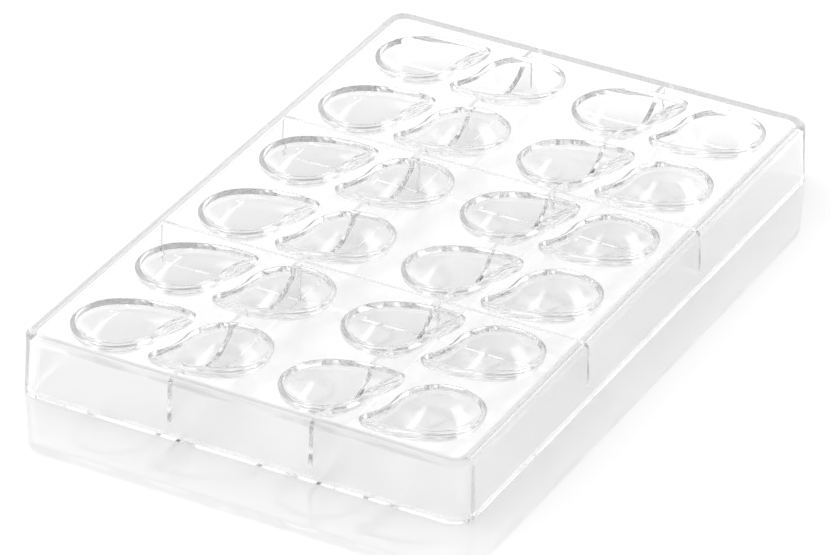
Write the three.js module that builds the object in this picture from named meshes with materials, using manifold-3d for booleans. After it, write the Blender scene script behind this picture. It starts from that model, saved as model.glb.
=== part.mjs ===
// A clear polycarbonate praline mold: a shallow tray lying upside down, its deck pierced by rows of
// teardrop cavities that hang below as thin cups. Millimetres, +Z up. The origin is the centre of the
// foot of the skirt, +X runs along the short front edge and +Y away from the front.
import * as THREE from 'three';
import { mergeVertices } from 'three/addons/utils/BufferGeometryUtils.js';
import Module from 'manifold-3d';

const wasm = await Module();
wasm.setup();

// The tray
const moldWidth = 175;
const moldLength = 275;
const moldHeight = 24;
const cornerRadius = 8;
const skirtDraftDegrees = 2;
const deckThickness = 3;
const deckEdgeFillet = 2.2;
const skirtThickness = 3.4;
const pocketCornerRadius = 5;
const pocketRootFillet = 1.5;

// The pattern of cavities: the plain border round it, how closely cells may be set, and where each
// cavity's round body lies in its cell
const sideBorder = 5.5;
const endBorder = 5.2;
const leastColumnPitch = 38;
const leastRowPitch = 42;
const bodyForward = 2.3;
const bodyInward = 0.1;

// One teardrop cavity, as seen on the deck
const bodyRadius = 14.7;
const tipRadius = 1.8;
const tipReach = 25.9;
const convexFlankRadius = 40;
const concaveFlankRadius = 21;
const dropTurnDegrees = 42.5;

// The same cavity in section: an upright rim, a crisp crease and a shallow dome
const rimDepth = 4;
const rimDraftDegrees = 6;
const domeHeight = 6;
const cupWall = 2;

// The ribs under the deck
const ribThickness = 1.6;
const ribFootHeight = 5.5;
const ribPastColumn = 7;
const ribClearance = 0.3;

// What a cut runs past the faces it passes, and the least radius that a rounded corner keeps
const cutOverrun = 1;
const leastCornerRadius = 0.2;

// Facets
const cornerSteps = 5;
const filletSteps = 4;
const bodySteps = 12;
const flankSteps = 4;
const tipSteps = 4;
const domeSteps = 3;
const lowestFlatShare = 0.5;

// Sizes that follow from the ones above
const deckUnderside = moldHeight - deckThickness;
const skirtDraft = Math.tan(THREE.MathUtils.degToRad(skirtDraftDegrees));
const rimDraft = Math.tan(THREE.MathUtils.degToRad(rimDraftDegrees));
const creaseInset = rimDepth * rimDraft;
const creaseHeight = moldHeight - rimDepth;
const domeSlope = 2 * Math.atan(domeHeight / (bodyRadius - creaseInset));
const columnCount = Math.floor((moldWidth - 2 * sideBorder) / leastColumnPitch);
const rowCount = Math.floor((moldLength - 2 * endBorder) / leastRowPitch);
const columnPitch = (moldWidth - 2 * sideBorder) / columnCount;
const rowPitch = (moldLength - 2 * endBorder) / rowCount;
const ribRow = Math.max(1, Math.round(rowCount / 3));
const ribLines = [(ribRow - rowCount / 2) * rowPitch, (rowCount / 2 - ribRow) * rowPitch];
const lengthwiseRibOffset = columnPitch / 2 + ribPastColumn;
const columnLetters = 'abcdefgh';

// Solids

function toSolid(geometry) {
  const bare = geometry.clone();
  bare.deleteAttribute('normal');
  bare.deleteAttribute('uv');
  const merged = mergeVertices(bare);
  return new wasm.Manifold(new wasm.Mesh({
    numProp: 3,
    vertProperties: new Float32Array(merged.attributes.position.array),
    triVerts: new Uint32Array(merged.index.array),
  }));
}

function toGeometry(solid) {
  const mesh = solid.getMesh();
  const geometry = new THREE.BufferGeometry();
  geometry.setAttribute('position', new THREE.BufferAttribute(new Float32Array(mesh.vertProperties), mesh.numProp));
  geometry.setIndex(new THREE.BufferAttribute(new Uint32Array(mesh.triVerts), 1));
  geometry.computeVertexNormals();
  return geometry;
}

// A closed skin over a stack of outlines, lowest first. Each ring has as many points as the next and
// runs anticlockwise seen from above; the lowest and highest are closed flat.
function stackedSolid(rings) {
  const count = rings[0].length;
  const positions = [];
  for (const ring of rings) {
    for (const point of ring) {
      positions.push(point.x, point.y, point.z);
    }
  }
  const indices = [];
  for (let level = 0; level < rings.length - 1; level += 1) {
    const low = level * count;
    const high = low + count;
    for (let i = 0; i < count; i += 1) {
      const next = (i + 1) % count;
      indices.push(low + i, low + next, high + next);
      indices.push(low + i, high + next, high + i);
    }
  }
  const top = (rings.length - 1) * count;
  for (const [a, b, c] of THREE.ShapeUtils.triangulateShape(rings[0], [])) {
    indices.push(c, b, a);
  }
  for (const [a, b, c] of THREE.ShapeUtils.triangulateShape(rings.at(-1), [])) {
    indices.push(top + a, top + b, top + c);
  }
  const geometry = new THREE.BufferGeometry();
  geometry.setAttribute('position', new THREE.Float32BufferAttribute(positions, 3));
  geometry.setIndex(indices);
  return toSolid(geometry);
}

// A block between two corners
function block(low, high) {
  const size = new THREE.Vector3().subVectors(high, low);
  const middle = new THREE.Vector3().addVectors(low, high).divideScalar(2);
  return toSolid(new THREE.BoxGeometry(size.x, size.y, size.z).translate(middle.x, middle.y, middle.z));
}

// Outlines

// The tray's plan at one height, drawn in from its foot by an inset
function roundedRing(inset, radius, z) {
  const kept = Math.max(radius, leastCornerRadius);
  const x = moldWidth / 2 - inset - kept;
  const y = moldLength / 2 - inset - kept;
  const centres = [[x, -y], [x, y], [-x, y], [-x, -y]];
  const ring = [];
  centres.forEach(([centreX, centreY], corner) => {
    for (let i = 0; i <= cornerSteps; i += 1) {
      const angle = (corner - 1 + i / cornerSteps) * Math.PI / 2;
      ring.push(new THREE.Vector3(centreX + kept * Math.cos(angle), centreY + kept * Math.sin(angle), z));
    }
  });
  return ring;
}

// The centre of a circle at two given distances from two points, on their right hand side
function flankCentre(from, fromDistance, to, toDistance) {
  const way = to.clone().sub(from);
  const span = way.length();
  way.normalize();
  const along = (fromDistance ** 2 - toDistance ** 2 + span ** 2) / (2 * span);
  const aside = Math.sqrt(Math.max(fromDistance ** 2 - along ** 2, 0));
  return new THREE.Vector2(from.x + way.x * along + way.y * aside, from.y + way.y * along - way.x * aside);
}

function arcPoints(centre, radius, from, to, anticlockwise, steps) {
  const start = Math.atan2(from.y - centre.y, from.x - centre.x);
  const end = Math.atan2(to.y - centre.y, to.x - centre.x);
  const arc = new THREE.EllipseCurve(centre.x, centre.y, radius, radius, start, end, !anticlockwise);
  return arc.getPoints(steps).slice(1);
}

// The teardrop: a round body and a small round tip, joined by a convex flank and a concave one, all
// four arcs tangent. The body's centre is the local origin and the tip points along local +X.
function dropOutline() {
  const body = new THREE.Vector2(0, 0);
  const tip = new THREE.Vector2(tipReach - tipRadius, 0);
  const convex = flankCentre(body, convexFlankRadius - bodyRadius, tip, convexFlankRadius - tipRadius);
  const concave = flankCentre(body, concaveFlankRadius + bodyRadius, tip, concaveFlankRadius + tipRadius);
  const touch = (centre, radius, toward) => toward.clone().sub(centre).setLength(radius).add(centre);
  const bodyToConvex = touch(body, -bodyRadius, convex);
  const tipToConvex = touch(tip, -tipRadius, convex);
  const tipToConcave = touch(tip, tipRadius, concave);
  const bodyToConcave = touch(body, bodyRadius, concave);
  return [
    ...arcPoints(concave, concaveFlankRadius, bodyToConcave, tipToConcave, false, flankSteps),
    ...arcPoints(tip, tipRadius, tipToConcave, tipToConvex, true, tipSteps),
    ...arcPoints(convex, convexFlankRadius, tipToConvex, bodyToConvex, true, flankSteps),
    ...arcPoints(body, bodyRadius, bodyToConvex, bodyToConcave, true, bodySteps),
  ];
}

// Moves each point of an anticlockwise outline straight in from its neighbours' line
function drawnIn(outline, distance) {
  return outline.map((point, i) => {
    const before = outline.at(i - 1);
    const after = outline[(i + 1) % outline.length];
    const along = after.clone().sub(before).normalize();
    return new THREE.Vector2(point.x - along.y * distance, point.y + along.x * distance);
  });
}

// The cavity's own surface, grown outward by a wall, from a given height down to a small flat at its
// lowest point. The rim is upright but for its draft. Below the crease each ring is the crease drawn
// together toward the body's centre, on the section of a round cap.
function dropSolid(wall, topHeight) {
  const drop = dropOutline();
  const crease = drawnIn(drop, creaseInset - wall);
  const creaseSink = wall * Math.tan((Math.PI / 2 - domeSlope) / 2);
  const rings = [];
  for (let i = 0; i < domeSteps; i += 1) {
    const slope = domeSlope * (i + lowestFlatShare) / (domeSteps - 1 + lowestFlatShare);
    const spread = Math.sin(slope) / Math.sin(domeSlope);
    const rise = (1 - Math.cos(slope)) / (1 - Math.cos(domeSlope));
    const sink = THREE.MathUtils.lerp(wall, creaseSink, rise);
    const height = creaseHeight - domeHeight * (1 - rise) - sink;
    rings.push(crease.map((point) => new THREE.Vector3(point.x * spread, point.y * spread, height)));
  }
  const topInset = (moldHeight - topHeight) * rimDraft - wall;
  rings.push(drawnIn(drop, topInset).map((point) => new THREE.Vector3(point.x, point.y, topHeight)));
  return stackedSolid(rings);
}

// The tray's outside, and the pocket that hollows it from below

// The deck's rounded plate, its edge eased at the top
function deckPlate() {
  const filletFoot = moldHeight - deckEdgeFillet;
  const rings = [roundedRing(deckUnderside * skirtDraft, cornerRadius - deckUnderside * skirtDraft, deckUnderside)];
  for (let i = 0; i <= filletSteps; i += 1) {
    const angle = Math.PI / 2 * i / filletSteps;
    const inset = filletFoot * skirtDraft + deckEdgeFillet * (1 - Math.cos(angle));
    rings.push(roundedRing(inset, cornerRadius - inset, filletFoot + deckEdgeFillet * Math.sin(angle)));
  }
  return stackedSolid(rings);
}

function skirtBlock() {
  const inset = deckUnderside * skirtDraft;
  return stackedSolid([roundedRing(0, cornerRadius, 0), roundedRing(inset, cornerRadius - inset, deckUnderside)]);
}

function pocket() {
  const filletFoot = deckUnderside - pocketRootFillet;
  const rings = [roundedRing(skirtThickness - cutOverrun * skirtDraft, pocketCornerRadius, -cutOverrun)];
  for (let i = 0; i <= filletSteps; i += 1) {
    const angle = Math.PI / 2 * i / filletSteps;
    const eased = pocketRootFillet * (1 - Math.cos(angle));
    const inset = skirtThickness + filletFoot * skirtDraft + eased;
    rings.push(roundedRing(inset, pocketCornerRadius - eased, filletFoot + pocketRootFillet * Math.sin(angle)));
  }
  rings.push(rings.at(-1).map((point) => new THREE.Vector3(point.x, point.y, deckUnderside + cutOverrun)));
  return stackedSolid(rings);
}

// Places of the cavities: the odd and the even columns face each other, half a turn apart
function cupPlaces() {
  const places = [];
  for (let column = 0; column < columnCount; column += 1) {
    const way = column % 2 === 0 ? 1 : -1;
    for (let row = 0; row < rowCount; row += 1) {
      places.push({
        name: `cup_${columnLetters[column]}${row + 1}`,
        x: (column - (columnCount - 1) / 2) * columnPitch + bodyInward * way,
        y: (row - (rowCount - 1) / 2) * rowPitch - bodyForward * way,
        turn: dropTurnDegrees + (way > 0 ? 0 : 180),
      });
    }
  }
  return places;
}

function atEachPlace(solid) {
  const copies = cupPlaces().map(({ x, y, turn }) => solid.rotate([0, 0, turn]).translate([x, y, 0]));
  return wasm.Manifold.union(copies);
}

// The assembly

const mold = new THREE.Group();
mold.name = 'praline_mold';

function addPiece(name, geometry) {
  const clearPolycarbonate = new THREE.MeshStandardMaterial({
    color: 0xf3f6f7,
    roughness: 0.05,
    metalness: 0,
    transparent: true,
    opacity: 0.35,
  });
  const piece = new THREE.Mesh(geometry, clearPolycarbonate);
  piece.name = name;
  mold.add(piece);
  return piece;
}

// The deck, open at every cavity
const cavity = dropSolid(0, moldHeight + cutOverrun);
addPiece('deck', toGeometry(deckPlate().subtract(atEachPlace(cavity))));

// The thin cups, each hanging from the deck's underside round its opening
const cup = toGeometry(dropSolid(cupWall, deckUnderside).subtract(cavity));
for (const { name, x, y, turn } of cupPlaces()) {
  const piece = addPiece(name, cup);
  piece.position.set(x, y, 0);
  piece.rotation.z = THREE.MathUtils.degToRad(turn);
}

// The skirt: one drafted wall round the tray, divided beside its rounded corners
const trayPocket = pocket();
const skirt = skirtBlock().subtract(trayPocket);
const cornerReach = Math.max(
  cornerRadius,
  skirtThickness + deckUnderside * skirtDraft + pocketRootFillet + pocketCornerRadius,
);
const acrossPlaces = [-moldWidth / 2 - cutOverrun, -moldWidth / 2 + cornerReach];
const alongPlaces = [-moldLength / 2 - cutOverrun, -moldLength / 2 + cornerReach];
acrossPlaces.push(-acrossPlaces[1], -acrossPlaces[0]);
alongPlaces.push(-alongPlaces[1], -alongPlaces[0]);
const skirtNames = [
  ['front_left_corner', 'front_skirt', 'front_right_corner'],
  ['left_skirt', null, 'right_skirt'],
  ['back_left_corner', 'back_skirt', 'back_right_corner'],
];
skirtNames.forEach((names, along) => {
  names.forEach((name, across) => {
    if (name) {
      const low = new THREE.Vector3(acrossPlaces[across], alongPlaces[along], -cutOverrun);
      const high = new THREE.Vector3(acrossPlaces[across + 1], alongPlaces[along + 1], moldHeight);
      addPiece(name, toGeometry(skirt.intersect(block(low, high))));
    }
  });
});

// The ribs under the deck, which end on the skirt's inner face. Two run the whole width between
// rows of cups. Two run lengthwise in three stretches each, scalloped clear of the cups above them.
function ribBetween(lowX, highX, lowY, highY) {
  const low = new THREE.Vector3(lowX, lowY, ribFootHeight);
  const high = new THREE.Vector3(highX, highY, deckUnderside);
  return trayPocket.intersect(block(low, high));
}

['front_cross_rib', 'back_cross_rib'].forEach((name, i) => {
  const [low, high] = [ribLines[i] - ribThickness / 2, ribLines[i] + ribThickness / 2];
  addPiece(name, toGeometry(ribBetween(-moldWidth / 2, moldWidth / 2, low, high)));
});

const cupsAndClearance = atEachPlace(dropSolid(cupWall + ribClearance, deckUnderside + cutOverrun));
const stretches = [
  ['front', -moldLength / 2, ribLines[0] - ribThickness / 2],
  ['middle', ribLines[0] + ribThickness / 2, ribLines[1] - ribThickness / 2],
  ['back', ribLines[1] + ribThickness / 2, moldLength / 2],
];
for (const [side, x] of [['left', -lengthwiseRibOffset], ['right', lengthwiseRibOffset]]) {
  for (const [stretch, low, high] of stretches) {
    const rib = ribBetween(x - ribThickness / 2, x + ribThickness / 2, low, high);
    addPiece(`${side}_${stretch}_rib`, toGeometry(rib.subtract(cupsAndClearance)));
  }
}

export default mold;
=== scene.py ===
# A clear polycarbonate praline mold, a shallow tray that lies with its cavities open upwards, on a
# glossy white table in a white studio.
import bmesh
import bpy
import math
from mathutils import Matrix, Vector


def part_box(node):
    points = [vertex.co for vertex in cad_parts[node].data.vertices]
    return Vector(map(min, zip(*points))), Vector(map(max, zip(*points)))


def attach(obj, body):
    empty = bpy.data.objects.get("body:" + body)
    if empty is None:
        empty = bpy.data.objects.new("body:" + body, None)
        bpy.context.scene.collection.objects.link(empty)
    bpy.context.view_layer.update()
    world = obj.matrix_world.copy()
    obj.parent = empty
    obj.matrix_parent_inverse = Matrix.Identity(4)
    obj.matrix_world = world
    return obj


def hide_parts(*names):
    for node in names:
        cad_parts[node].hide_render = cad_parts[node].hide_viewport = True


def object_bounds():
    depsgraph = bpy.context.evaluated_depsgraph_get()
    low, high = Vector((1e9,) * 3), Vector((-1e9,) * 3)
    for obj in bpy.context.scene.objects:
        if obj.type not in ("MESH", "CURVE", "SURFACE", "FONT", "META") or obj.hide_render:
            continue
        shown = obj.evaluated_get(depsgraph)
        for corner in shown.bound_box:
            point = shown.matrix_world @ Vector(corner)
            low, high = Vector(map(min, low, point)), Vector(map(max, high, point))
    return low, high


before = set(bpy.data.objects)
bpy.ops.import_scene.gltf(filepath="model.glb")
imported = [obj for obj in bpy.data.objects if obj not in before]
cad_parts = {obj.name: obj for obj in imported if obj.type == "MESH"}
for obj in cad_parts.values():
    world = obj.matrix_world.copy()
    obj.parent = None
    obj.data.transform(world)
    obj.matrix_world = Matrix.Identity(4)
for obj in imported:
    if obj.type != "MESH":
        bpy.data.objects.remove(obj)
cad_low, cad_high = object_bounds()
MM = 0.001


# The photographer's view: a long lens on a tripod, to the left of the short front edge, looking
# down on the deck at about thirty degrees.
view_turn = math.radians(27.629)
view_height = math.radians(30.651)
view_roll = math.radians(-1.011)
view_distance = 2094.375 * MM
view_target = Vector((-4.206, -0.292, 0.0)) * MM
frame_width_px = 833
focal_length_px = 5862.96
sensor_width = 36.0
view_reach = 100.0

backward = Vector((math.sin(view_turn) * math.cos(view_height),
                   -math.cos(view_turn) * math.cos(view_height),
                   math.sin(view_height)))
level_right = Vector((math.cos(view_turn), math.sin(view_turn), 0.0))
level_up = backward.cross(level_right)
right = level_right * math.cos(view_roll) - level_up * math.sin(view_roll)
up = level_right * math.sin(view_roll) + level_up * math.cos(view_roll)
place = view_target + backward * view_distance
camera_data = bpy.data.cameras.new("tripod_camera")
camera_data.sensor_width = sensor_width
camera_data.lens = focal_length_px / frame_width_px * sensor_width
camera_data.clip_end = view_reach
camera = bpy.data.objects.new("tripod_camera", camera_data)
camera.matrix_world = Matrix((
    (right.x, up.x, backward.x, place.x),
    (right.y, up.y, backward.y, place.y),
    (right.z, up.z, backward.z, place.z),
    (0.0, 0.0, 0.0, 1.0)))
bpy.context.scene.collection.objects.link(camera)
bpy.context.scene.camera = camera


# The tray: the deck and the skirt round it, injection moulded in one shot. Its outside leans in
# with the draft that lets it leave the steel tool. Its top edge is eased, and its foot is flat with
# almost sharp edges. The skirt is satin inside, down to the polished band above the foot.
tray_width = cad_high[0] - cad_low[0]
tray_length = cad_high[1] - cad_low[1]
tray_height = cad_high[2] - cad_low[2]
deck_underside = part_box("deck")[0][2]
corner_radius = 8.0 * MM
skirt_draft = math.tan(math.radians(2.0))
skirt_thickness = 3.4 * MM
top_fillet = 2.2 * MM
foot_easing = 0.12 * MM
polished_foot = 1.5 * MM
pocket_corner_radius = 5.0 * MM
pocket_root_fillet = 1.5 * MM
cut_overrun = 1.0 * MM
corner_steps = 20
easing_steps = 4
top_fillet_steps = 8
root_fillet_steps = 6


def arc(centre, radius, start, end, steps):
    """Points on an arc between two angles in degrees, both ends included."""
    angles = [math.radians(start + (end - start) * i / steps) for i in range(steps + 1)]
    return [Vector((centre[0] + radius * math.cos(angle), centre[1] + radius * math.sin(angle)))
            for angle in angles]


def rounded_ring(inset, radius, z):
    """The tray's plan at one height, drawn in from its foot, anticlockwise from the front right."""
    x = tray_width / 2 - inset - radius
    y = tray_length / 2 - inset - radius
    ring = []
    for quarter, centre in enumerate(((x, -y), (x, y), (-x, y), (-x, -y))):
        ring += arc(centre, radius, quarter * 90 - 90, quarter * 90, corner_steps)
    return [Vector((point.x, point.y, z)) for point in ring]


def stacked_solid(name, rings):
    """A closed solid over a stack of rings, lowest first, with a flat face at each end."""
    shell = bmesh.new()
    levels = [[shell.verts.new(point) for point in ring] for ring in rings]
    for low, high in zip(levels, levels[1:]):
        for i in range(len(low)):
            after = (i + 1) % len(low)
            shell.faces.new((low[i], low[after], high[after], high[i]))
    shell.faces.new(list(reversed(levels[0])))
    shell.faces.new(levels[-1])
    mesh = bpy.data.meshes.new(name)
    shell.to_mesh(mesh)
    shell.free()
    solid = bpy.data.objects.new(name, mesh)
    bpy.context.scene.collection.objects.link(solid)
    return solid


def settle(piece):
    """Turns a piece's modifiers into its own plain mesh."""
    evaluated = piece.evaluated_get(bpy.context.evaluated_depsgraph_get())
    mesh = bpy.data.meshes.new_from_object(evaluated)
    piece.modifiers.clear()
    piece.data = mesh


def combine(piece, other, operation):
    """Joins another solid to a piece or cuts it away, and uses the other up."""
    change = piece.modifiers.new(operation.lower(), "BOOLEAN")
    change.object = other
    change.operation = operation
    change.solver = "MANIFOLD"
    settle(piece)
    bpy.data.objects.remove(other)


outside = arc((foot_easing, foot_easing), foot_easing, 270, 180, easing_steps)
outside += arc((top_fillet, tray_height - top_fillet), top_fillet, 180, 90, top_fillet_steps)
mold = stacked_solid("praline_mold", [
    rounded_ring(inset + z * skirt_draft, corner_radius - inset - z * skirt_draft, z)
    for inset, z in outside])

foot_inset = skirt_thickness - foot_easing
hollow = [Vector((foot_inset, -cut_overrun))]
hollow += arc((foot_inset, foot_easing), foot_easing, 270, 360, easing_steps)
hollow.append(Vector((skirt_thickness, polished_foot)))
hollow += arc((skirt_thickness + pocket_root_fillet, deck_underside - pocket_root_fillet),
              pocket_root_fillet, 180, 90, root_fillet_steps)
pocket = stacked_solid("pocket", [
    rounded_ring(inset + z * skirt_draft,
                 pocket_corner_radius - max(inset - skirt_thickness, 0.0), z)
    for inset, z in hollow])
combine(mold, pocket, "DIFFERENCE")


# The cavities: teardrops that hang below the deck as thin cups, each with an upright rim, a crisp
# crease and a shallow dome. All are one shape, set in rows, and every other column is turned about.
body_radius = 14.7 * MM
tip_radius = 1.8 * MM
tip_reach = 25.9 * MM
convex_flank_radius = 40.0 * MM
concave_flank_radius = 21.0 * MM
drop_turn = math.radians(42.5)
rim_depth = 4.0 * MM
rim_draft = math.tan(math.radians(6.0))
rim_easing = 0.2 * MM
crease_easing = 0.35 * MM
dome_height = 6.0 * MM
cup_wall = 2.0 * MM
cup_crease_radius = 1.0 * MM
column_pitch = 41.0 * MM
row_pitch = 44.1 * MM
column_count = 4
row_count = 6
body_forward = 2.3 * MM
body_inward = 0.1 * MM
dome_steps = 10
dome_eye_share = 0.15
crease_steps = 4
concave_flank_steps = 10
tip_steps = 10
convex_flank_steps = 14
body_steps = 38
crease_inset = rim_depth * rim_draft
dome_slope = 2 * math.atan(dome_height / (body_radius - crease_inset))


def flank_centre(start, start_distance, end, end_distance):
    """The centre at two given distances from two points, to the right of the way between them."""
    way = end - start
    span = way.length
    way = way / span
    along = (start_distance ** 2 - end_distance ** 2 + span ** 2) / (2 * span)
    aside = math.sqrt(start_distance ** 2 - along ** 2)
    return start + way * along + Vector((way.y, -way.x)) * aside


def facing(centre, point):
    """The direction from a centre to a point, in degrees."""
    return math.degrees(math.atan2(point.y - centre.y, point.x - centre.x))


def drop_outline():
    """A round body and a small round tip along +X, joined by a convex and a concave flank."""
    body = Vector((0.0, 0.0))
    tip = Vector((tip_reach - tip_radius, 0.0))
    convex = flank_centre(body, convex_flank_radius - body_radius,
                          tip, convex_flank_radius - tip_radius)
    concave = flank_centre(body, concave_flank_radius + body_radius,
                           tip, concave_flank_radius + tip_radius)
    body_start, body_end = facing(convex, body), facing(body, concave)
    tip_start, tip_end = facing(tip, concave), facing(convex, tip)
    outline = arc(concave, concave_flank_radius, body_end + 180, tip_start + 180,
                  concave_flank_steps)[1:]
    outline += arc(tip, tip_radius, tip_start, tip_end, tip_steps)[1:]
    outline += arc(convex, convex_flank_radius, tip_end, body_start, convex_flank_steps)[1:]
    outline += arc(body, body_radius, body_start, body_end + 360, body_steps)[1:]
    return outline


def drawn_in(outline, distance):
    """Moves each point of an anticlockwise outline straight in from its neighbours' line."""
    moved = []
    for i, point in enumerate(outline):
        along = (outline[(i + 1) % len(outline)] - outline[i - 1]).normalized()
        moved.append(point + Vector((-along.y, along.x)) * distance)
    return moved


def drop_solid(name, wall, crease_radius, top):
    """The cavity's surface grown outward by a wall, up to the rings that close it on top."""
    drop = drop_outline()
    crease_outline = drawn_in(drop, crease_inset - wall)
    crease_sink = wall * math.tan((math.pi / 2 - dome_slope) / 2)

    def dome_ring(slope):
        spread = math.sin(slope) / math.sin(dome_slope)
        rise = (1 - math.cos(slope)) / (1 - math.cos(dome_slope))
        z = tray_height - rim_depth - dome_height * (1 - rise) - wall - (crease_sink - wall) * rise
        return [Vector((point.x * spread, point.y * spread, z)) for point in crease_outline]

    def rim_ring(inset, z):
        drawn = drawn_in(drop, inset + (tray_height - z) * rim_draft - wall)
        return [Vector((point.x, point.y, z)) for point in drawn]

    rings = [dome_ring(dome_slope * max(i, dome_eye_share) / dome_steps) for i in range(dome_steps)]
    crease = dome_ring(dome_slope)
    below = dome_ring(dome_slope - crease_radius / body_radius)
    above = rim_ring(0.0, crease[0].z + crease_radius)
    for i in range(crease_steps + 1):
        share = i / crease_steps
        rings.append([a.lerp(b, share).lerp(b.lerp(c, share), share)
                      for a, b, c in zip(below, crease, above)])
    rings += [rim_ring(inset, z) for inset, z in top]
    return stacked_solid(name, rings)


cup = drop_solid("cup", cup_wall, cup_crease_radius, [(0.0, (deck_underside + tray_height) / 2)])
lip = arc((-rim_easing, tray_height - rim_easing), rim_easing, 0, 90, easing_steps)
mouth = Vector((-rim_easing, tray_height + cut_overrun))
cavity = drop_solid("cavity", 0.0, crease_easing, lip + [mouth])


def add(tree, kind, settings=None, **inputs):
    """Adds a node with its settings, and links or sets its inputs; in_0 is an input by number."""
    made = tree.nodes.new(kind)
    for name, value in (settings or {}).items():
        setattr(made, name, value)
    for name, value in inputs.items():
        number = name.startswith("in_")
        socket = made.inputs[int(name[3:])] if number else made.inputs[name.replace("_", " ")]
        if isinstance(value, bpy.types.NodeSocket):
            tree.links.new(value, socket)
        else:
            socket.default_value = value
    return made


def new_tree(name, sizes):
    """A geometry tree that takes a mesh and named sizes and gives a mesh."""
    tree = bpy.data.node_groups.new(name, "GeometryNodeTree")
    tree.interface.new_socket("Geometry", in_out="INPUT", socket_type="NodeSocketGeometry")
    for label, kind in sizes.items():
        tree.interface.new_socket(label, in_out="INPUT", socket_type=kind)
    tree.interface.new_socket("Geometry", in_out="OUTPUT", socket_type="NodeSocketGeometry")
    return tree


def run_tree(piece, tree, values):
    """Runs a tree on a piece with its sizes set by each socket's identifier."""
    modifier = piece.modifiers.new(tree.name, "NODES")
    modifier.node_group = tree
    for item in tree.interface.items_tree:
        if item.in_out == "INPUT" and item.name in values:
            modifier[item.identifier] = values[item.name]
    settle(piece)


pattern = new_tree("cavity_pattern", {
    "Columns": "NodeSocketInt", "Rows": "NodeSocketInt", "Column Pitch": "NodeSocketFloat",
    "Row Pitch": "NodeSocketFloat", "Inward": "NodeSocketFloat", "Forward": "NodeSocketFloat",
    "Turn": "NodeSocketFloat", "Finish": "NodeSocketMaterial"})
given = add(pattern, "NodeGroupInput").outputs
math_node = "ShaderNodeMath"
gaps_across = add(pattern, math_node, {"operation": "SUBTRACT"}, in_0=given["Columns"], in_1=1.0)
gaps_along = add(pattern, math_node, {"operation": "SUBTRACT"}, in_0=given["Rows"], in_1=1.0)
width = add(pattern, math_node, {"operation": "MULTIPLY"},
            in_0=gaps_across.outputs[0], in_1=given["Column Pitch"])
length = add(pattern, math_node, {"operation": "MULTIPLY"},
             in_0=gaps_along.outputs[0], in_1=given["Row Pitch"])
grid = add(pattern, "GeometryNodeMeshGrid", Size_X=width.outputs[0], Size_Y=length.outputs[0],
           Vertices_X=given["Columns"], Vertices_Y=given["Rows"])
corner = add(pattern, "GeometryNodeInputPosition")
spot = add(pattern, "ShaderNodeSeparateXYZ", in_0=corner.outputs[0])
from_middle = add(pattern, math_node, {"operation": "DIVIDE"},
                  in_0=spot.outputs[0], in_1=given["Column Pitch"])
from_left = add(pattern, math_node, {"operation": "MULTIPLY_ADD"},
                in_0=gaps_across.outputs[0], in_1=0.5, in_2=from_middle.outputs[0])
column = add(pattern, math_node, {"operation": "ROUND"}, in_0=from_left.outputs[0])
turned = add(pattern, math_node, {"operation": "FLOORED_MODULO"},
             in_0=column.outputs[0], in_1=2.0)
way = add(pattern, math_node, {"operation": "MULTIPLY_ADD"},
          in_0=turned.outputs[0], in_1=-2.0, in_2=1.0)
way_back = add(pattern, math_node, {"operation": "MULTIPLY"}, in_0=way.outputs[0], in_1=-1.0)
shift_x = add(pattern, math_node, {"operation": "MULTIPLY"},
              in_0=way.outputs[0], in_1=given["Inward"])
shift_y = add(pattern, math_node, {"operation": "MULTIPLY"},
              in_0=way_back.outputs[0], in_1=given["Forward"])
shift = add(pattern, "ShaderNodeCombineXYZ", X=shift_x.outputs[0], Y=shift_y.outputs[0])
spots = add(pattern, "GeometryNodeSetPosition", Geometry=grid.outputs["Mesh"],
            Offset=shift.outputs[0])
facing_way = add(pattern, math_node, {"operation": "MULTIPLY_ADD"},
                 in_0=turned.outputs[0], in_1=math.pi, in_2=given["Turn"])
angles = add(pattern, "ShaderNodeCombineXYZ", Z=facing_way.outputs[0])
turns = add(pattern, "FunctionNodeEulerToRotation", in_0=angles.outputs[0])
copies = add(pattern, "GeometryNodeInstanceOnPoints", Points=spots.outputs[0],
             Instance=given["Geometry"], Rotation=turns.outputs[0])
made_real = add(pattern, "GeometryNodeRealizeInstances", in_0=copies.outputs[0])
finished = add(pattern, "GeometryNodeSetMaterial", Geometry=made_real.outputs[0],
               Material=given["Finish"])
add(pattern, "NodeGroupOutput", in_0=finished.outputs[0])


def linear(text):
    """An sRGB hex colour as linear values."""
    channels = [int(text[i:i + 2], 16) / 255 for i in (1, 3, 5)]
    return [c / 12.92 if c <= 0.04045 else ((c + 0.055) / 1.055) ** 2.4 for c in channels] + [1.0]


def new_material(name):
    """A new material with an empty node tree."""
    material = bpy.data.materials.new(name)
    material.use_nodes = True
    material.node_tree.nodes.clear()
    return material


# Polycarbonate, injection moulded against polished steel: glass clear and colourless, with a mirror
# gloss and the slight waviness that the melt leaves as it cools. Where the tool is satin, it is
# rougher, and its depth takes a little grey from light that travels far inside it.
ripple_width = 18.0 * MM
ripple_height = 0.004 * MM
polished_roughness = 0.06
satin_roughness = 0.28
polycarbonate_index = 1.585
absorption_per_length = 0.002 / MM
polycarbonate = new_material("polycarbonate_clear_polished")
tree = polycarbonate.node_tree
where = add(tree, "ShaderNodeTexCoord")
swell = add(tree, "ShaderNodeTexNoise", in_0=where.outputs["Object"],
            Scale=1 / ripple_width, Detail=1.0)
ripple = add(tree, "ShaderNodeBump", Strength=1.0, Distance=ripple_height, Height=swell.outputs[0])
satin_share = add(tree, "ShaderNodeAttribute", {"attribute_name": "satin"})
roughness = add(tree, "ShaderNodeMapRange", Value=satin_share.outputs["Fac"],
                To_Min=polished_roughness, To_Max=satin_roughness)
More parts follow.
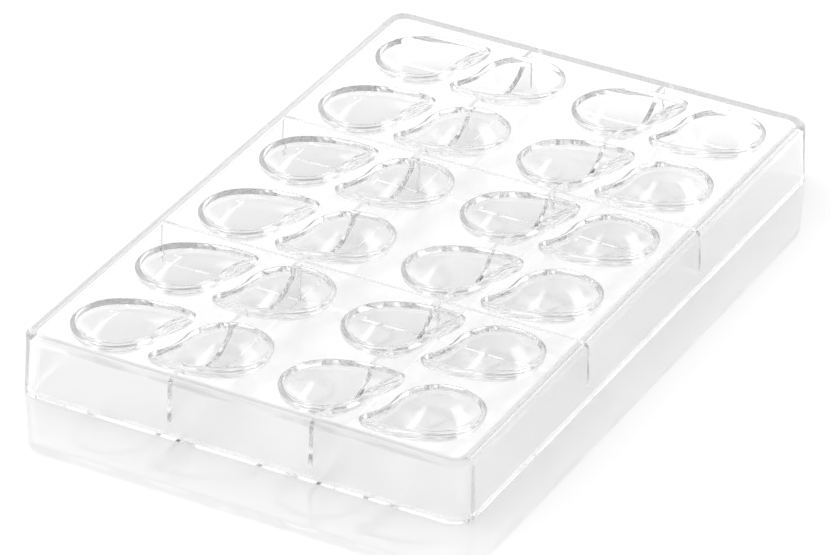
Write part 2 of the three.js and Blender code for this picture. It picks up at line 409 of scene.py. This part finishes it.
clear = add(tree, "ShaderNodeBsdfPrincipled", Base_Color=linear("#FCFCFC"),
            Roughness=roughness.outputs[0], IOR=polycarbonate_index, Transmission_Weight=1.0,
            Normal=ripple.outputs[0])
absorption = add(tree, "ShaderNodeVolumeAbsorption", Color=linear("#BCBCBC"),
                 Density=absorption_per_length)
add(tree, "ShaderNodeOutputMaterial", Surface=clear.outputs[0], Volume=absorption.outputs[0])

pattern_sizes = {
    "Columns": column_count, "Rows": row_count, "Column Pitch": column_pitch,
    "Row Pitch": row_pitch, "Inward": body_inward, "Forward": body_forward, "Turn": drop_turn,
    "Finish": polycarbonate}
run_tree(cup, pattern, pattern_sizes)
run_tree(cavity, pattern, pattern_sizes)
combine(mold, cup, "UNION")


# The ribs: thin upright webs under the deck that keep it flat, two across the width between rows
# of cups and two lengthwise under the inner columns. They are moulded with the tray and its cups.
rib_thickness = 1.6 * MM
rib_foot = 5.5 * MM
rib_root = 0.5 * MM
cross_rib_spacing = 2 * row_pitch
lengthwise_rib_spacing = 55.0 * MM

webs = new_tree("rib_row", {
    "Count": "NodeSocketInt", "Spacing": "NodeSocketFloat", "Thickness": "NodeSocketFloat",
    "Length": "NodeSocketFloat", "Foot": "NodeSocketFloat", "Top": "NodeSocketFloat",
    "Turn": "NodeSocketFloat", "Finish": "NodeSocketMaterial"})
given = add(webs, "NodeGroupInput").outputs
gaps = add(webs, math_node, {"operation": "SUBTRACT"}, in_0=given["Count"], in_1=1.0)
span = add(webs, math_node, {"operation": "MULTIPLY"}, in_0=gaps.outputs[0], in_1=given["Spacing"])
first = add(webs, math_node, {"operation": "MULTIPLY"}, in_0=span.outputs[0], in_1=-0.5)
depth = add(webs, math_node, {"operation": "SUBTRACT"}, in_0=given["Top"], in_1=given["Foot"])
heights = add(webs, math_node, {"operation": "ADD"}, in_0=given["Top"], in_1=given["Foot"])
middle = add(webs, math_node, {"operation": "MULTIPLY"}, in_0=heights.outputs[0], in_1=0.5)
start = add(webs, "ShaderNodeCombineXYZ", X=first.outputs[0])
step = add(webs, "ShaderNodeCombineXYZ", X=given["Spacing"])
row = add(webs, "GeometryNodeMeshLine", Count=given["Count"], Start_Location=start.outputs[0],
          Offset=step.outputs[0])
size = add(webs, "ShaderNodeCombineXYZ", X=given["Thickness"], Y=given["Length"],
           Z=depth.outputs[0])
web = add(webs, "GeometryNodeMeshCube", Size=size.outputs[0])
copies = add(webs, "GeometryNodeInstanceOnPoints", Points=row.outputs[0], Instance=web.outputs[0])
made_real = add(webs, "GeometryNodeRealizeInstances", in_0=copies.outputs[0])
lift = add(webs, "ShaderNodeCombineXYZ", Z=middle.outputs[0])
angles = add(webs, "ShaderNodeCombineXYZ", Z=given["Turn"])
turn = add(webs, "FunctionNodeEulerToRotation", in_0=angles.outputs[0])
set_down = add(webs, "GeometryNodeTransform", Geometry=made_real.outputs[0],
               Translation=lift.outputs[0], Rotation=turn.outputs[0])
finished = add(webs, "GeometryNodeSetMaterial", Geometry=set_down.outputs[0],
               Material=given["Finish"])
add(webs, "NodeGroupOutput", in_0=finished.outputs[0])

for name, count, spacing, length, turn in (
        ("cross_ribs", 2, cross_rib_spacing, tray_width, math.pi / 2),
        ("lengthwise_ribs", 2, lengthwise_rib_spacing, tray_length, 0.0)):
    ribs = bpy.data.objects.new(name, bpy.data.meshes.new(name))
    bpy.context.scene.collection.objects.link(ribs)
    run_tree(ribs, webs, {
        "Count": count, "Spacing": spacing, "Thickness": rib_thickness, "Turn": turn,
        "Length": length - skirt_thickness - 2 * tray_height * skirt_draft,
        "Foot": rib_foot, "Top": deck_underside + rib_root, "Finish": polycarbonate})
    combine(mold, ribs, "UNION")
combine(mold, cavity, "DIFFERENCE")


# The finish: polished wherever chocolate or hands go, satin on the skirt's inner side, which makes
# the skirt look soft and even, and half as satin round the outer corners. The foot and the band
# above it are polished too, and shine as a bright line along the table.
satin_reach = skirt_thickness + tray_height * skirt_draft + 2 * pocket_root_fillet
inward_limit = 0.1
upright_limit = 0.3
corner_limit = 0.99
inner_satin = 1.0
corner_satin = 0.5
sharp_angle = math.radians(24)
flat_face_weight = 90

mold.data.materials.clear()
mold.data.materials.append(polycarbonate)
satin = mold.data.attributes.new("satin", "FLOAT", "FACE")
for face in mold.data.polygons:
    to_side = tray_width / 2 - abs(face.center.x)
    to_end = tray_length / 2 - abs(face.center.y)
    lean_x = -math.copysign(face.normal.x, face.normal.x * face.center.x)
    lean_y = -math.copysign(face.normal.y, face.normal.y * face.center.y)
    faces_in = (lean_x if to_side < to_end else lean_y) > inward_limit
    on_skirt = min(to_side, to_end) < satin_reach
    upright = abs(face.normal.z) < upright_limit
    at_corner = upright and max(abs(face.normal.x), abs(face.normal.y)) < corner_limit
    if on_skirt and faces_in and face.center.z > polished_foot:
        satin.data[face.index].value = inner_satin
    elif on_skirt and at_corner and not faces_in:
        satin.data[face.index].value = corner_satin
    face.material_index = 0
    face.use_smooth = True
mold.data.set_sharp_from_angle(angle=sharp_angle)
shading = mold.modifiers.new("even_shading", "WEIGHTED_NORMAL")
shading.keep_sharp = True
shading.weight = flat_face_weight
settle(mold)
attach(mold, "root")
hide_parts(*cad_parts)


# The table: a white gloss acrylic sheet, a hair below the foot, that mirrors the skirt faintly. Its
# index is above acrylic's 1.49, to mirror as much as the table in the photo. The glow whitens the
# sheet in the picture, and behind the plastic, without more light on the mold.
table_size = 6000.0 * MM
table_drop = 0.03 * MM
acrylic_roughness = 0.05
acrylic_index = 2.0
table_glow = 0.34
glow_through = 0.51
sheet = bmesh.new()
bmesh.ops.create_grid(sheet, x_segments=1, y_segments=1, size=table_size / 2)
table_mesh = bpy.data.meshes.new("table")
sheet.to_mesh(table_mesh)
sheet.free()
table = bpy.data.objects.new("table", table_mesh)
table.location.z = -table_drop
bpy.context.scene.collection.objects.link(table)
acrylic = new_material("acrylic_white_gloss")
tree = acrylic.node_tree
gloss = add(tree, "ShaderNodeBsdfPrincipled", Base_Color=linear("#F4F4F4"),
            Roughness=acrylic_roughness, IOR=acrylic_index)
seen = add(tree, "ShaderNodeLightPath")
past = add(tree, math_node, {"operation": "MAXIMUM"},
           in_0=seen.outputs["Is Transmission Ray"], in_1=seen.outputs["Is Glossy Ray"])
behind = add(tree, math_node, {"operation": "MULTIPLY"}, in_0=past.outputs[0], in_1=glow_through)
level = add(tree, math_node, {"operation": "MULTIPLY_ADD"},
            in_0=seen.outputs["Is Camera Ray"], in_1=table_glow, in_2=behind.outputs[0])
glow = add(tree, "ShaderNodeEmission", Color=linear("#FFFFFF"), Strength=level.outputs[0])
both = add(tree, "ShaderNodeAddShader", in_0=gloss.outputs[0], in_1=glow.outputs[0])
add(tree, "ShaderNodeOutputMaterial", Surface=both.outputs[0])
table_mesh.materials.append(acrylic)


# The studio: a bright back wall, a left wall brighter than the right one, a dim ceiling with a long
# softbox to each side of the camera's axis, and an open, dark side behind the camera. An edge is
# where one level turns into the next, as a share of the way along an axis.
from_camera = (-0.46, 0.89, 0.0)
to_left = (-0.89, -0.46, 0.0)
back_wall = 1.5
left_wall = 1.05
right_wall = 0.5
ceiling = 0.15
ceiling_behind = 0.5
ceiling_beside = 0.4
open_side = 0.2
open_side_edge = (-0.85, -0.5)
back_wall_edge = (0.3, 0.7)
wall_middle = 0.6
ceiling_edge = (0.60, 0.66)
ceiling_behind_edge = (-0.3, 0.1)
ceiling_beside_edge = 0.1
softbox = 2.0
softbox_axes = ((-0.91, -0.14, 0.40), (0.62, 0.63, 0.47))
softbox_half_widths = (0.07, 0.15)
softbox_blur = 0.03
softbox_foot = (0.40, 0.46)
softbox_start = (-0.18, -0.02)
studio = bpy.data.worlds.new("studio")
studio.use_nodes = True
bpy.context.scene.world = studio
tree = studio.node_tree
tree.nodes.clear()
where = add(tree, "ShaderNodeTexCoord").outputs["Generated"]
dot = {"operation": "DOT_PRODUCT"}
mix = {"data_type": "FLOAT"}
away = add(tree, "ShaderNodeVectorMath", dot, in_0=where, in_1=from_camera).outputs["Value"]
aside = add(tree, "ShaderNodeVectorMath", dot, in_0=where, in_1=to_left).outputs["Value"]
upward = add(tree, "ShaderNodeSeparateXYZ", in_0=where).outputs[2]
flank = add(tree, "ShaderNodeMapRange", Value=aside, From_Min=-wall_middle, From_Max=wall_middle,
            To_Min=right_wall, To_Max=left_wall)
near = add(tree, "ShaderNodeMapRange", Value=away, From_Min=open_side_edge[0],
           From_Max=open_side_edge[1], To_Min=open_side, To_Max=flank.outputs[0])
far = add(tree, "ShaderNodeMapRange", Value=away, From_Min=back_wall_edge[0],
          From_Max=back_wall_edge[1])
walls = add(tree, "ShaderNodeMix", mix, in_0=far.outputs[0], in_2=near.outputs[0], in_3=back_wall)
overhead = add(tree, "ShaderNodeMapRange", Value=upward, From_Min=ceiling_edge[0],
               From_Max=ceiling_edge[1])
roof = add(tree, "ShaderNodeMapRange", Value=away, From_Min=ceiling_behind_edge[0],
           From_Max=ceiling_behind_edge[1], To_Min=ceiling_behind, To_Max=ceiling)
across = [add(tree, "ShaderNodeVectorMath", dot, in_0=where, in_1=axis).outputs["Value"]
          for axis in softbox_axes]
between = add(tree, math_node, {"operation": "MINIMUM"}, in_0=across[0], in_1=across[1])
top = add(tree, "ShaderNodeMapRange", Value=between.outputs[0], From_Min=-ceiling_beside_edge,
          From_Max=ceiling_beside_edge, To_Min=ceiling_beside, To_Max=roof.outputs[0])
level = add(tree, "ShaderNodeMix", mix, in_0=overhead.outputs[0], in_2=walls.outputs[0],
            in_3=top.outputs[0])
above = add(tree, "ShaderNodeMapRange", Value=upward, From_Min=softbox_foot[0],
            From_Max=softbox_foot[1])
ahead = add(tree, "ShaderNodeMapRange", Value=away, From_Min=softbox_start[0],
            From_Max=softbox_start[1])
reach = add(tree, math_node, {"operation": "MULTIPLY"},
            in_0=above.outputs[0], in_1=ahead.outputs[0])
for off_middle, half_width in zip(across, softbox_half_widths):
    off_axis = add(tree, math_node, {"operation": "ABSOLUTE"}, in_0=off_middle)
    strip = add(tree, "ShaderNodeMapRange", Value=off_axis.outputs[0], To_Min=1.0, To_Max=0.0,
                From_Min=half_width - softbox_blur, From_Max=half_width + softbox_blur)
    lit = add(tree, math_node, {"operation": "MULTIPLY"},
              in_0=strip.outputs[0], in_1=reach.outputs[0])
    level = add(tree, "ShaderNodeMix", mix, in_0=lit.outputs[0], in_2=level.outputs[0],
                in_3=softbox)
light = add(tree, "ShaderNodeBackground", Color=linear("#FFFFFF"), Strength=level.outputs[0])
add(tree, "ShaderNodeOutputWorld", Surface=light.outputs[0])


# The picture: plain colours, and long paths, because light crosses many walls of the mold.
longest_path = 64
longest_glossy_path = 48
scene = bpy.context.scene
scene.view_settings.view_transform = "Standard"
scene.cycles.max_bounces = longest_path
scene.cycles.transmission_bounces = longest_path
scene.cycles.glossy_bounces = longest_glossy_path
